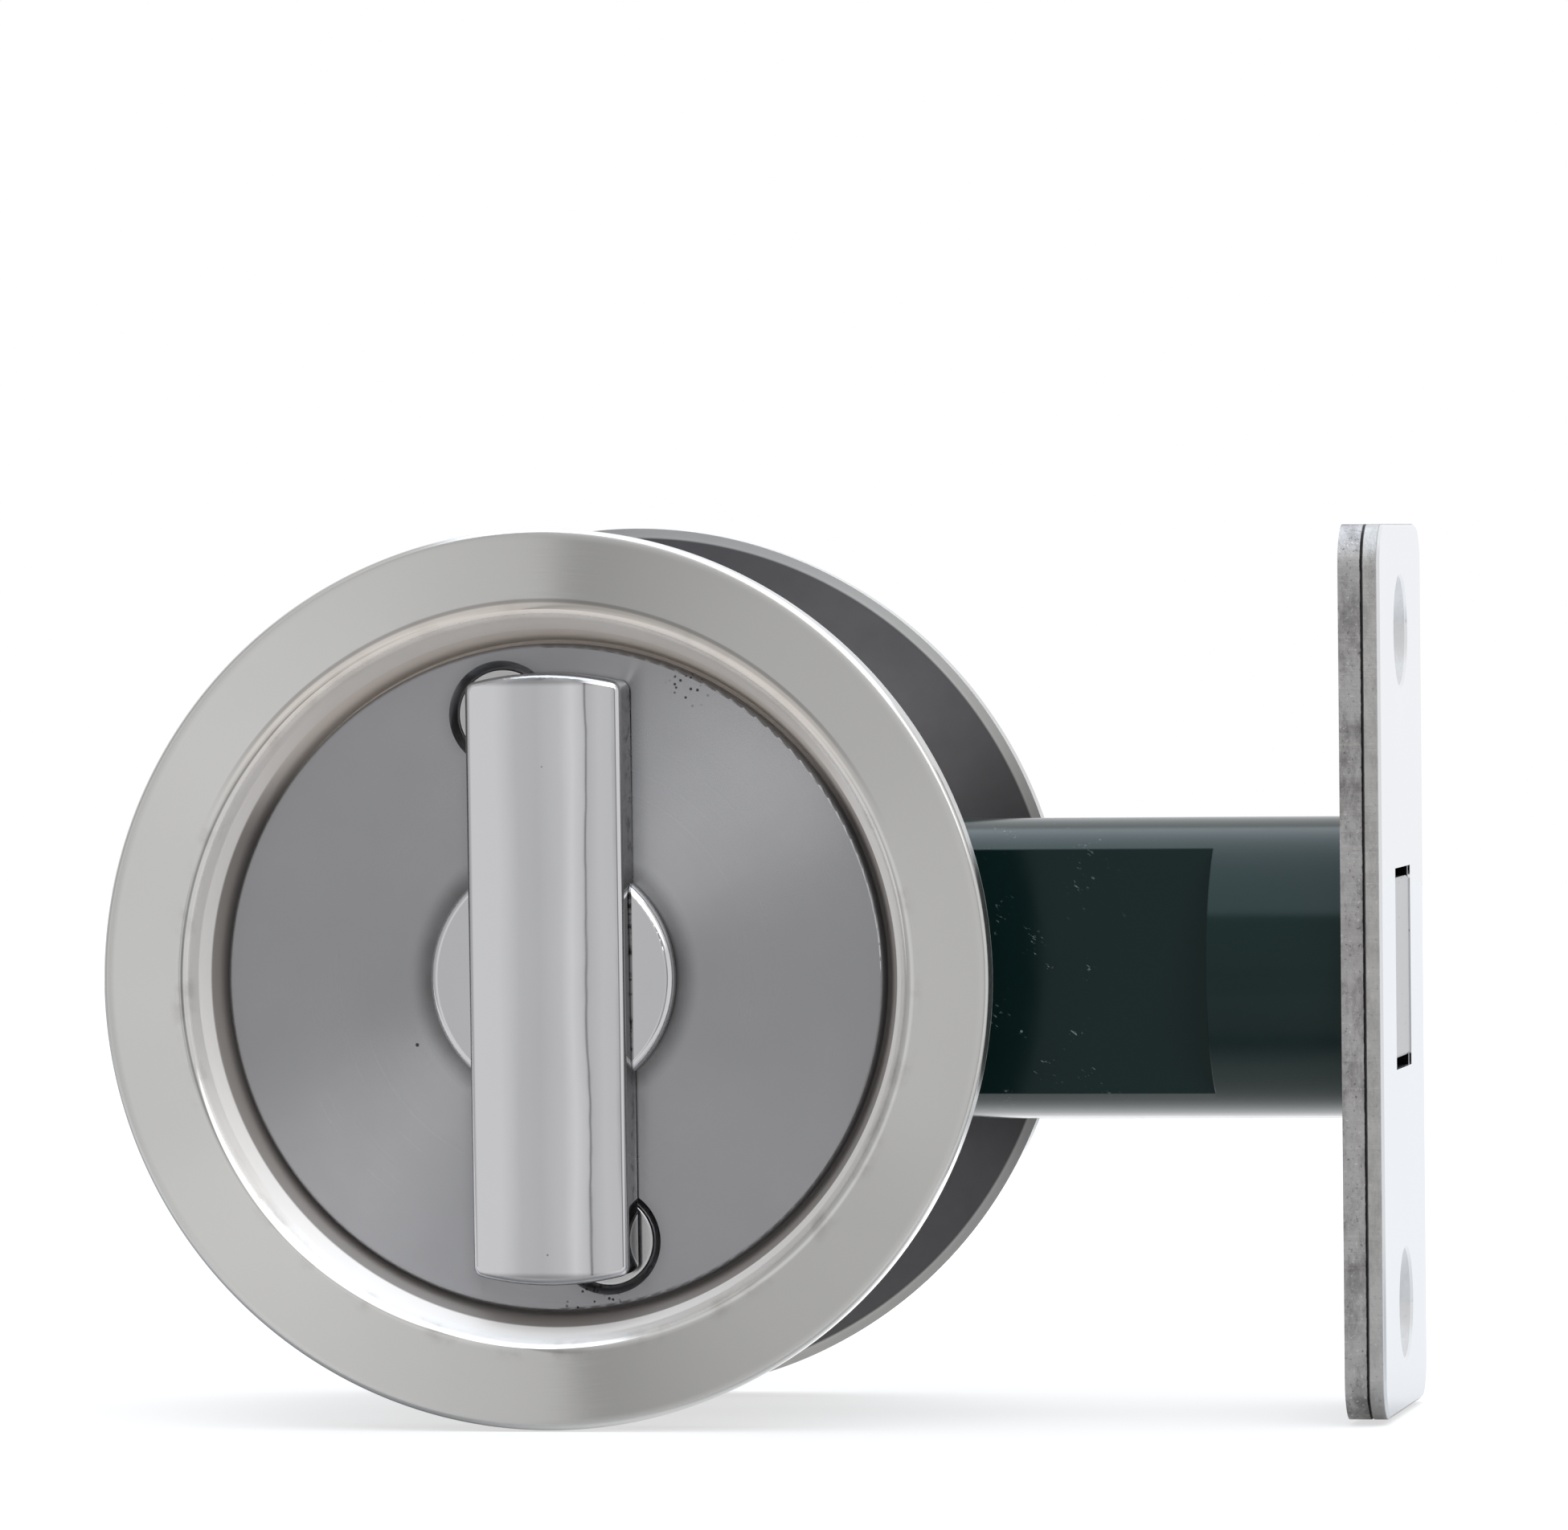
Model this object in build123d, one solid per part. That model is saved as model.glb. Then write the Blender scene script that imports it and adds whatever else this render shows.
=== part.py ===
from build123d import *
from math import cos, radians, sin, sqrt
import os

os.makedirs("parts", exist_ok=True)

# Cavity sliding door lock, in millimetres.
# The turn axis is Y through the origin, half way through the door.
# The snib faces -Y, the door edge lies toward +X, and +Z is up.

# Door
DOOR = 35.0             # thickness
BACKSET = 60.0          # turn axis to door edge

# Rose ring, turned with a flat back
ROSE_R = 32.5           # outside radius
RIM_H = 2.0             # rim above the door face
RIM_ROUND = 1.0         # rounding of the rim
FLANGE_DISH = 0.5       # fall of the flange from its rim to its lip
LIP_R = 26.3            # radius at the top of the lip
LIP_ROUND = 1.0         # rounding at the top of the lip
LIP_FALL = 3.7          # foot of the lip below the rim
LIP_FOOT_R = 25.25      # radius at the foot of the lip
WELL_R = 24.45          # radius of the well at the back of the plate
WELL_WALL = 0.8         # wall of the well at the door's face

# Rose plate, a spun disc
PLATE_T = 1.8           # thickness
PLATE_FALL = 4.5        # face below the rim
PLATE_GAP = 0.25        # gap round the plate at its back
PLATE_EDGE = 0.3        # rounding of its front edge
SEAT_W = 1.4            # seat of the ring under the plate
SEAT_T = 0.8            # its thickness

# Rose fixings
FIXING_LEAN = 11.0      # lean of their line from upright, degrees
SCREW_R = 2.0           # thread
SCREW_L = 15.0          # length below the head's rim
SCREW_HOLE_R = 2.3      # hole in the plate
SCREW_SINK = 0.5        # head below the plate's face
CSK_R = 3.9             # mouth of the countersink, 90 degrees
CROSS_L = 3.6           # cross recess, tip to tip
CROSS_W = 0.9           # cross recess, width of an arm
CROSS_DEEP = 1.2        # cross recess, depth
POST_R = 3.0            # threaded post
POST_IN = 0.35          # posts inside the seat of the ring
POST_SHORT = 2.7        # post end short of the front plate
POST_BORE_L = 16.0      # depth of its bore
THREAD_CLEAR = 0.05     # radial, screw in post

# Snib and coin turn
SNIB_PAST = 2.65        # ends past the middle of the screws
SNIB_W = 11.4           # width at the top edges
SNIB_DRAFT = 0.2        # each side wider at the foot
SNIB_FALL = 1.35        # top edges below the rim
SNIB_CROWN = 0.5        # rise of the crowned top
SNIB_ROUND = 0.5        # rounding round the top
SNIB_CORNER = 0.8       # rounding of its four upright corners
SNIB_LEAN = 0.3         # lean from upright, degrees
BOSS_R = 9.0            # round boss under the bar
BOSS_H = 1.0            # its height
BOSS_ROUND = 0.6        # rounding of its rim
COIN_H = 2.4            # height of the coin turn's head
COIN_ROUND = 0.6        # rounding of its rim
COIN_SLOT_L = 13.0      # coin slot
COIN_SLOT_W = 2.0
COIN_SLOT_DEEP = 1.2
TURN_CLEAR = 0.3        # heads off the plates
SHAFT_R = 5.0           # shaft of both heads
SHAFT_END = 1.2         # shaft past its circlip
RUN_CLEAR = 0.08        # radial, running fits
WASHER_R = 8.0          # nylon washer
WASHER_T = 1.0
END_PLAY = 0.1          # axial play of washers, circlips and spindle
CLIP_T = 0.8            # circlip
CLIP_W = 1.5            # width of its ring
CLIP_BITE = 0.6         # depth of its groove
CLIP_OPEN = 50.0        # its opening, degrees
CLIP_EAR_R = 1.3        # ears beside the opening
CLIP_EAR_HOLE_R = 0.5
SQUARE = 5.0            # spindle across flats
SOCKET_CLEAR = 0.05     # each side of the spindle
SOCKET_DEEP = 0.5       # sockets past the heads' undersides
SPINDLE_CHAMFER = 0.5

# Latch case, a round tube with two flats
CASE_R = 11.0
CASE_WALL = 1.2
CASE_FLAT = 6.5         # flats from the middle
CASE_TAIL = 15.0        # tube behind the turn axis
COLLAR_L = 10.0         # full round stretch behind the forend
PLUG_T = 1.2            # flange of the end plug
PLUG_L = 3.0            # plug inside the tube

# Forend and faceplate
FOREND_T = 1.7
FACE_T = 1.3
FACE_W = 25.0
FACE_H = 64.5
FACE_CORNER = 3.0
FACE_HOLES = 49.0       # spacing of the fixing holes
FACE_HOLE_R = 2.2
FACE_CSK_R = 4.2        # mouth of the countersink, 90 degrees
FACE_BREAK = 0.25       # broken front edge
FACE_JOINT = 0.12       # broken edges where the two plates meet
SPIGOT_L = 2.5          # forend inside the tube
SPIGOT_T = 1.2

# Bolt
BOLT_W = 8.6
BOLT_H = 13.1
BOLT_L = 30.0
BOLT_SIDE = 0.15        # slot clearance at each side
BOLT_END = 0.75         # slot clearance above and below
BOLT_SUNK = 0.1         # end below the faceplate
BOLT_BREAK = 0.2        # broken edges of its end
BOLT_ROOF = 1.3         # wall over the claw
NOSE_T = 1.5            # wall in front of the claw
TAIL_W = 5.8            # tail bar to the hub
TAIL_OVER = 0.56        # its top under the bore of the case
TAIL_LAP = 6.0          # tail bar along the bolt
TAIL_CLEAR = 0.15       # tail bar over the hub
TAIL_END = 2.5          # wall behind the finger window
FINGER_PLAY = 0.6       # finger in its window, each way
FINGER_SIDE = 0.2       # finger in its window, each side

# Hub
HUB_R = 5.0             # drum under the tail bar
HUB_FLAT = 4.4          # flats for the spring, from the axis
HUB_DRUM_W = 6.8        # width of the drum
SHOULDER_R = 6.9        # shoulders beside the drum
JOURNAL_R = 6.0
JOURNAL_OUT = 0.4       # journals past the flats
HUB_CLEAR = 0.2         # shoulders off the bushes
FINGER_OVER = 0.62      # finger's head inside the bore of the case
FINGER_HEAD_R = 1.4
FINGER_NECK = 1.8
FINGER_T = 2.8
TURN = 90.0             # turn of the snib, degrees
BUSH_WALL = 1.42        # bush round the journal
BUSH_FLANGE_W = 0.8
BUSH_FLANGE_T = 0.6
SPRING_T = 0.4          # leaf spring
SPRING_W = 4.4
SPRING_TOP = 6.0        # flat length against the hub
SPRING_FOOT = 20.0      # length over its feet
SPRING_LEG = 15.0       # spread of its legs at the feet
SPRING_CLEAR = 0.05
SPRING_BEND = 0.8

# Claw
CLAW_T = 2.8
CLAW_SIDE = 0.2         # clearance to each cheek of the bolt
CLAW_SWING = 40.0       # degrees over the whole turn
PIVOT_BACK = 15.0       # pivot behind the bolt's end
PIVOT_DROP = 3.5        # pivot below the bolt's middle
PIVOT_R = 1.5
PIVOT_CLEAR = 0.05      # radial, claw on its pin
PIVOT_BOSS_R = 3.0
CAM_UP = 5.2            # cam pin above the pivot
CAM_R = 1.25
CAM_CLEAR = 0.35        # radial, cam pin in its slots
CAM_WALL = 1.25         # claw round its cam slot
CLAW_UNDER = 0.35       # swung claw above the bolt's underside
TOOTH_BACK = 8.5        # pivot to the holding face
TOOTH_DROP = 4.2        # holding face
TOOTH_TIP = 2.1         # width of the tip
TOOTH_FRONT = 12.6      # pivot to the front of the tooth
TOOTH_RISE = 3.4        # rise of its front slope
CLAW_BAY_CLEAR = 0.6    # room behind the claw


def save(node, *solids):
    """Write one node, made of one solid or of several like ones."""
    shape = solids[0] if len(solids) == 1 else Compound(children=list(solids))
    export_step(shape, f"parts/{node}.step")


def disc(radius, y_from, y_to):
    """Round disc or shaft on the turn axis."""
    return extrude(Plane.XZ.offset(-y_from) * Circle(radius), amount=y_from - y_to)


def upright(sketch, x=0.0, z=0.0):
    """Put a sketch on the upright plane that holds the mechanism, seen from the snib side."""
    return Plane(origin=(x, 0, z), x_dir=(1, 0, 0), z_dir=(0, -1, 0)) * sketch


def slab(sketch, width, x=0.0, z=0.0):
    """Extrude a mechanism sketch to a width, even about the middle of the door."""
    return extrude(upright(sketch, x, z), amount=width / 2, both=True)


def across(sketch, x_from, x_to):
    """Extrude a section of the latch along the backset."""
    return extrude(Plane.YZ.offset(x_from) * sketch, amount=x_to - x_from)


def other_side(shape):
    """The same piece on the outside of the door."""
    return mirror(shape, about=Plane.XZ)


# Heights from the middle of the door, used on both of its sides
rim_y = DOOR / 2 + RIM_H
plate_y = rim_y - PLATE_FALL
plate_back_y = plate_y - PLATE_T
head_y = plate_y + TURN_CLEAR
washer_y = plate_back_y - END_PLAY
clip_y = washer_y - WASHER_T - END_PLAY / 2
shaft_end_y = clip_y - CLIP_T - SHAFT_END
socket_y = head_y + SOCKET_DEEP
plate_r = WELL_R - PLATE_GAP
fixing_r = plate_r - SEAT_W - POST_IN - POST_R
snib_r = fixing_r + SNIB_PAST
lip_slope = (LIP_R - LIP_FOOT_R) / (LIP_FALL - FLANGE_DISH)
well_out_r = LIP_R - (RIM_H - FLANGE_DISH) * lip_slope + WELL_WALL


# Rose rings
def ring_section():
    """Half section of the ring: flat back, rim, flange, lip, and a well that ends in the plate's seat."""
    rim = (ROSE_R, -rim_y)
    lip = (LIP_R, FLANGE_DISH - rim_y)
    with BuildSketch() as section:
        with BuildLine() as outline:
            Polyline(
                (ROSE_R, -DOOR / 2),
                rim,
                lip,
                (LIP_FOOT_R, LIP_FALL - rim_y),
                (WELL_R, -plate_back_y),
                (plate_r - SEAT_W, -plate_back_y),
                (plate_r - SEAT_W, SEAT_T - plate_back_y),
                (well_out_r, SEAT_T - plate_back_y),
                (well_out_r, -DOOR / 2),
                close=True,
            )
            fillet(outline.vertices().sort_by_distance(rim)[0], RIM_ROUND)
            fillet(outline.vertices().sort_by_distance(lip)[0], LIP_ROUND)
        make_face()
    return section.sketch


front_ring = revolve(ring_section(), Axis.Y)
save("front_ring", front_ring)
save("back_ring", other_side(front_ring))


# Rose plates
def blank_plate():
    """Disc with a running hole for the shaft, on the snib side."""
    blank = disc(plate_r, -plate_back_y, -plate_y)
    blank = fillet(blank.edges().group_by(Axis.Y)[0], PLATE_EDGE)
    return blank - disc(SHAFT_R + RUN_CLEAR, 0, -rim_y)


lean = radians(FIXING_LEAN)
fixing_spots = [(-fixing_r * sin(lean), fixing_r * cos(lean)), (fixing_r * sin(lean), -fixing_r * cos(lean))]


def countersink(mouth_r, bore_r, length):
    """Screw hole along Z, its mouth at zero and its bore below, with a 90 degree countersink."""
    cone_h = mouth_r - bore_r
    cone = Pos(0, 0, -cone_h / 2) * Cone(bore_r, mouth_r, cone_h)
    return cone + Pos(0, 0, -length / 2) * Cylinder(bore_r, length)


def at_fixing(spot, y):
    """Place at one of the two fixings, with Z out of the snib side."""
    return Plane(origin=(spot[0], y, spot[1]), x_dir=(1, 0, 0), z_dir=(0, -1, 0)).location


front_plate = blank_plate()
for spot in fixing_spots:
    front_plate -= at_fixing(spot, -plate_y) * countersink(CSK_R, SCREW_HOLE_R, 2 * PLATE_T)
save("front_plate", front_plate)
save("back_plate", other_side(blank_plate()))

# Fixing screws and posts
head_r = CSK_R - SCREW_SINK - THREAD_CLEAR
cross = Rectangle(CROSS_L, CROSS_W) + Rectangle(CROSS_W, CROSS_L)
screw = countersink(head_r, SCREW_R, SCREW_L) - extrude(cross, amount=-CROSS_DEEP, taper=12)
save("fixing_screws", *[at_fixing(spot, SCREW_SINK - plate_y) * screw for spot in fixing_spots])

post_top = plate_back_y - POST_SHORT
post_l = post_top + plate_back_y
post = Pos(0, 0, -post_l / 2) * Cylinder(POST_R, post_l)
post -= Pos(0, 0, -POST_BORE_L / 2) * Cylinder(SCREW_R + THREAD_CLEAR, POST_BORE_L)
save("fixing_posts", *[at_fixing(spot, -post_top) * post for spot in fixing_spots])


# Snib and coin turn
def shaft():
    """Shaft of a turn head on the snib side, with its circlip groove."""
    groove = disc(SHAFT_R + CLIP_BITE, CLIP_T - clip_y + END_PLAY / 2, -clip_y - END_PLAY / 2)
    groove -= disc(SHAFT_R - CLIP_BITE, 0, -head_y)
    return disc(SHAFT_R, -shaft_end_y, -head_y) - groove


def socket():
    """Square socket for the spindle, open toward the middle of the door."""
    side = SQUARE + 2 * SOCKET_CLEAR
    return extrude(Plane.XZ * Rectangle(side, side), amount=socket_y)


edge_y = rim_y - SNIB_FALL
foot_w = SNIB_W + 2 * SNIB_DRAFT
with BuildSketch() as crowned:
    with BuildLine():
        Polyline((-SNIB_W / 2, -edge_y), (-foot_w / 2, -head_y), (foot_w / 2, -head_y), (SNIB_W / 2, -edge_y))
        ThreePointArc((SNIB_W / 2, -edge_y), (0, -edge_y - SNIB_CROWN), (-SNIB_W / 2, -edge_y))
    make_face()
bar = extrude(crowned.sketch, amount=2 * snib_r, both=True)
bar &= disc(snib_r, 0, -rim_y)
corner_edges = bar.edges().filter_by(lambda edge: edge.bounding_box().size.Y > SNIB_CROWN + SNIB_ROUND)
bar = fillet(corner_edges, SNIB_CORNER)
top_edges = bar.edges().filter_by(lambda edge: edge.center().Y < -(head_y + edge_y) / 2)
top_edges = top_edges.filter_by(lambda edge: edge.bounding_box().size.Y < SNIB_CROWN + SNIB_ROUND)
bar = fillet(top_edges, SNIB_ROUND)
bar = Rot(0, -SNIB_LEAN, 0) * bar
boss = disc(BOSS_R, -head_y, -head_y - BOSS_H)
boss = fillet(boss.edges().group_by(Axis.Y)[0], BOSS_ROUND)
snib = bar + boss + shaft() - socket()
save("turn_snib", snib)

coin_head = disc(BOSS_R, -head_y, -head_y - COIN_H)
coin_head = fillet(coin_head.edges().group_by(Axis.Y)[0], COIN_ROUND)
coin_slot = upright(SlotOverall(COIN_SLOT_L, COIN_SLOT_W, rotation=90))
coin_slot = extrude(coin_slot, amount=head_y + COIN_H) - disc(ROSE_R, 0, COIN_SLOT_DEEP - head_y - COIN_H)
save("coin_turn", other_side(coin_head + shaft() - coin_slot - socket()))


# Washers and circlips
def washer():
    """Nylon washer between the plate and the circlip."""
    return disc(WASHER_R, -washer_y + WASHER_T, -washer_y) - disc(SHAFT_R + RUN_CLEAR, 0, -rim_y)


def circlip():
    """External circlip with two eared ends, open upward."""
    inner_r = SHAFT_R - CLIP_BITE + RUN_CLEAR
    mid_r = inner_r + CLIP_W / 2
    half = radians(CLIP_OPEN / 2)
    ring = Circle(inner_r + CLIP_W) - Circle(inner_r)
    ring -= Polygon((0, 0), (-2 * mid_r * sin(half), 2 * mid_r * cos(half)),
                    (2 * mid_r * sin(half), 2 * mid_r * cos(half)), align=None)
    for side in (-1, 1):
        ear_angle = half + (CLIP_EAR_R - CLIP_W / 4) / mid_r
        ear = Pos(side * (mid_r + CLIP_W / 4) * sin(ear_angle), (mid_r + CLIP_W / 4) * cos(ear_angle))
        ring += ear * Circle(CLIP_EAR_R)
        ring -= ear * Circle(CLIP_EAR_HOLE_R)
    ring -= Circle(inner_r)
    return extrude(upright(ring), amount=clip_y) - disc(ROSE_R, 0, CLIP_T - clip_y)


save("snib_washer", washer())
save("coin_washer", other_side(washer()))
save("snib_circlip", circlip())
save("coin_circlip", other_side(circlip()))

# Spindle
spindle_l = 2 * (socket_y - END_PLAY)
spindle = extrude(Plane.XZ * Rectangle(SQUARE, SQUARE), amount=spindle_l / 2, both=True)
spindle_ends = spindle.edges().group_by(Axis.Y)
spindle = chamfer(spindle_ends[0] + spindle_ends[-1], SPINDLE_CHAMFER)
save("spindle", spindle)

# Latch case
forend_x = BACKSET - FACE_T - FOREND_T
collar_x = forend_x - COLLAR_L
bore_r = CASE_R - CASE_WALL
flat_bore = CASE_FLAT - CASE_WALL
bush_r = JOURNAL_R + RUN_CLEAR + BUSH_WALL
finger_r = bore_r - FINGER_HEAD_R - FINGER_OVER
stroke = 2 * finger_r * sin(radians(TURN / 2))
pivot_x = BACKSET - BOLT_SUNK - PIVOT_BACK
pivot_z = -PIVOT_DROP
cam_x = pivot_x + stroke / 2
cam_z = pivot_z + CAM_UP

flat_outside = Circle(CASE_R) & Rectangle(2 * CASE_FLAT, 2 * CASE_R)
flat_inside = Circle(bore_r) & Rectangle(2 * flat_bore, 2 * bore_r)
case = across(flat_outside, -CASE_TAIL, collar_x) + across(Circle(CASE_R), collar_x, forend_x)
case -= across(flat_inside, -CASE_TAIL, collar_x + CASE_WALL)
case -= across(Circle(bore_r), collar_x + CASE_WALL, forend_x)
case -= disc(bush_r, CASE_R, -CASE_R)
cam_reach = sqrt(CASE_R ** 2 - cam_z ** 2)
cam_pin = upright(Circle(CAM_R), cam_x, cam_z)
cam_pin = extrude(cam_pin, amount=BOLT_W / 2) + extrude(cam_pin, amount=-cam_reach)
case -= cam_pin
save("latch_case", case)
save("cam_pin", cam_pin)

plug = across(flat_outside, -CASE_TAIL - PLUG_T, -CASE_TAIL) + across(flat_inside, -CASE_TAIL, PLUG_L - CASE_TAIL)
save("end_plug", plug)

# Forend and faceplate
slot = Rectangle(BOLT_W + 2 * BOLT_SIDE, BOLT_H + 2 * BOLT_END)
face_outline = RectangleRounded(FACE_W, FACE_H, FACE_CORNER) - slot
hole_spots = [(0, FACE_HOLES / 2), (0, -FACE_HOLES / 2)]
forend = across(face_outline, forend_x, forend_x + FOREND_T)
faceplate = across(face_outline, forend_x + FOREND_T, BACKSET)
for spot in hole_spots:
    mouth = Plane(origin=(BACKSET, *spot), z_dir=(1, 0, 0)).location
    screw_hole = mouth * countersink(FACE_CSK_R, FACE_HOLE_R, 2 * (FACE_T + FOREND_T))
    forend -= screw_hole
    faceplate -= screw_hole
forend = chamfer(forend.faces().sort_by(Axis.X)[-1].outer_wire().edges(), FACE_JOINT)
forend += across(Circle(bore_r) - Circle(bore_r - SPIGOT_T), forend_x - SPIGOT_L, forend_x)
save("forend", forend)

faceplate = chamfer(faceplate.faces().sort_by(Axis.X)[-1].outer_wire().edges(), FACE_BREAK)
faceplate = chamfer(faceplate.faces().sort_by(Axis.X)[0].outer_wire().edges(), FACE_JOINT)
save("faceplate", faceplate)


# Hub, bushes and spring
def journal(radius, y_from, y_to):
    """The same round step on both sides of the drum."""
    step = disc(radius, -y_from, -y_to)
    return step + other_side(step)


finger = Pos(0, finger_r / 2) * Rectangle(FINGER_NECK, finger_r) + Pos(0, finger_r) * Circle(FINGER_HEAD_R)
drum = Circle(HUB_R) & Pos(HUB_FLAT - HUB_R, HUB_R - HUB_FLAT) * Rectangle(2 * HUB_R, 2 * HUB_R)
shoulder_y = flat_bore - HUB_CLEAR
hub = slab(drum, HUB_DRUM_W) + slab(Rot(0, 0, TURN / 2) * finger, FINGER_T)
hub += journal(SHOULDER_R, HUB_DRUM_W / 2, shoulder_y)
hub += journal(JOURNAL_R, shoulder_y, CASE_FLAT + JOURNAL_OUT)
hub -= socket() + other_side(socket())
save("hub", hub)

bush = disc(bush_r, -flat_bore, -CASE_FLAT)
bush += disc(bush_r + BUSH_FLANGE_W, -CASE_FLAT, -CASE_FLAT - BUSH_FLANGE_T)
bush -= disc(JOURNAL_R + RUN_CLEAR, 0, -rim_y)
save("hub_bushes", bush, other_side(bush))

spring_top_z = -HUB_FLAT - SPRING_CLEAR
floor_z = SPRING_CLEAR + SPRING_T - sqrt(bore_r ** 2 - (SPRING_W / 2) ** 2)
knee = (SPRING_TOP / 2, spring_top_z)
ankle = (SPRING_LEG / 2, floor_z)
with BuildSketch() as leaf:
    with BuildLine() as bow:
        Polyline(
            (-SPRING_FOOT / 2, floor_z),
            (-ankle[0], ankle[1]),
            (-knee[0], knee[1]),
            knee,
            ankle,
            (SPRING_FOOT / 2, floor_z),
        )
        for bend in ((-ankle[0], ankle[1]), (-knee[0], knee[1]), knee, ankle):
            fillet(bow.vertices().sort_by_distance(bend)[0], SPRING_BEND)
        offset(amount=SPRING_T, side=Side.RIGHT)
    make_face()
save("detent_spring", slab(leaf.sketch, SPRING_W))

# Claw, drawn swung out round its pivot and then folded into the bolt
under_z = CLAW_UNDER + PIVOT_DROP - BOLT_H / 2
tooth_z = under_z - TOOTH_DROP


def cam_point(share):
    """Middle of the cam pin, in the frame of the swung claw, after a share of the stroke."""
    back = radians(CLAW_SWING * (share - 1))
    ahead = stroke * (0.5 - share)
    return (ahead * cos(back) - CAM_UP * sin(back), ahead * sin(back) + CAM_UP * cos(back))


cam_path = ThreePointArc(cam_point(0), cam_point(0.5), cam_point(1))
cam_slot_w = 2 * (CAM_R + CAM_CLEAR)
cam_body = SlotArc(cam_path, cam_slot_w + 2 * CAM_WALL)
tooth = Polygon(
    (0, under_z),
    (TOOTH_BACK, under_z),
    (TOOTH_BACK, tooth_z),
    (TOOTH_BACK + TOOTH_TIP, tooth_z),
    (TOOTH_FRONT, tooth_z + TOOTH_RISE),
    cam_point(0),
    cam_point(0.5),
    (-PIVOT_BOSS_R, 0),
    align=None,
)
claw = tooth + cam_body + Circle(PIVOT_BOSS_R) - SlotArc(cam_path, cam_slot_w) - Circle(PIVOT_R + PIVOT_CLEAR)
save("claw", slab(Rot(0, 0, CLAW_SWING) * claw, CLAW_T, pivot_x, pivot_z))

# Bolt with its claw bay, pin slots and tail bar
nose_x = BACKSET - BOLT_SUNK
bolt_block = across(Rectangle(BOLT_W, BOLT_H), nose_x - BOLT_L, nose_x)
bolt_block = chamfer(bolt_block.faces().sort_by(Axis.X)[-1].edges(), BOLT_BREAK)
swing = radians(CLAW_SWING)
claw_tail = stroke / 2 * cos(swing) + CAM_UP * sin(swing) + cam_slot_w / 2 + CAM_WALL
bay_back = pivot_x - claw_tail - CLAW_BAY_CLEAR
bay_h = BOLT_H - BOLT_ROOF
bay = Rectangle(CLAW_T + 2 * CLAW_SIDE, bay_h)
bolt_block -= across(Pos(0, -BOLT_ROOF / 2) * bay, bay_back, nose_x - NOSE_T)
bolt_block -= slab(SlotCenterToCenter(stroke, cam_slot_w), BOLT_W + 1, pivot_x, cam_z)
bolt_block -= slab(Circle(PIVOT_R), BOLT_W + 1, pivot_x, pivot_z)

tail_z = HUB_R + TAIL_CLEAR
window_x = -stroke / 2
window_l = 2 * (FINGER_HEAD_R + FINGER_PLAY)
tail_h = sqrt(bore_r ** 2 - (TAIL_W / 2) ** 2) - TAIL_OVER - tail_z
tail = Pos(0, tail_z + tail_h / 2) * Rectangle(TAIL_W, tail_h)
tail = across(tail, window_x - window_l / 2 - TAIL_END, nose_x - BOLT_L + TAIL_LAP)
tail -= slab(Rectangle(window_l, 4 * tail_h), FINGER_T + 2 * FINGER_SIDE, window_x, tail_z)
save("bolt", bolt_block + tail)
save("claw_pin", slab(Circle(PIVOT_R), BOLT_W, pivot_x, pivot_z))
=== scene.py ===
import math

import bmesh
import bpy
from mathutils import Matrix, Vector


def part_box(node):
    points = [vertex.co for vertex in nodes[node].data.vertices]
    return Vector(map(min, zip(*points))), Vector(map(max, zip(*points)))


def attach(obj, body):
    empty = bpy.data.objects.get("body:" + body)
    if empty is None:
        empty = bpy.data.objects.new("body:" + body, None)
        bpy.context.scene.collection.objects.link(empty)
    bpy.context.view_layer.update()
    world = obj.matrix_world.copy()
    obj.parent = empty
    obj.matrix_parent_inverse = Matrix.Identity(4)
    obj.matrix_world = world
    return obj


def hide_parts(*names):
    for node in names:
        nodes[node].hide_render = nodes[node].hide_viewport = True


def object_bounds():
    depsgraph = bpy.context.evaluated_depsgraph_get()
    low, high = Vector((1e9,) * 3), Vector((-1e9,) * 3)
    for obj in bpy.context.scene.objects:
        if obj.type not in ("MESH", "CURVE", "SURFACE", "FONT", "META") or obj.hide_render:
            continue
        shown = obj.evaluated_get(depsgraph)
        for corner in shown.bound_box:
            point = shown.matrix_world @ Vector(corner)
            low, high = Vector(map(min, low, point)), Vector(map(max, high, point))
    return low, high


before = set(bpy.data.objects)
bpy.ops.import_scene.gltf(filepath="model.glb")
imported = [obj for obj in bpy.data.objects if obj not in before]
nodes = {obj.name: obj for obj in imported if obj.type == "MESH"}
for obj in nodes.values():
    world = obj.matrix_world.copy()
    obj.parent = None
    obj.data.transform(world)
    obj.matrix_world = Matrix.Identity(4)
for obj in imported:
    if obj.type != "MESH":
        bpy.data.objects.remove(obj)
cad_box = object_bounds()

MM = 0.001
scene = bpy.context.scene
scene.view_settings.view_transform = "Standard"


# Sizes of the lock in millimetres; a depth is a distance from the door's middle

ROSE_R, RIM_ROUND = 32.5, 0.35
FLANGE_DISH = 0.5
LIP_R, LIP_ROUND = 26.3, 1.0
LIP_FOOT_R, LIP_FALL = 25.25, 3.7
WELL_R, WELL_OUT_R, SEAT_R = 24.45, 26.61, 22.8
DOOR_FACE, PLATE_BACK, SEAT_BACK = 17.5, 13.2, 12.4
RIM_H = 2.0
LIP_FOOT = DOOR_FACE + RIM_H - LIP_FALL
SNIB_HALF_W, SNIB_R, SNIB_EDGE = 5.7, 22.1, 18.15
BOSS_R = 9.0
CROWN_R, CROWN_FOOT, CROWN_BACK = 8.45, 16.0, 15.9
CROWN_RISE = 0.45
SCREW_HEAD_R, SCREW_R, SCREW_L = 3.35, 2.0, 15.0
SCREW_FACE, HEAD_ROUND = 14.5, 0.08
SCREW_X, SCREW_Z = -3.711, 19.09
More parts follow.
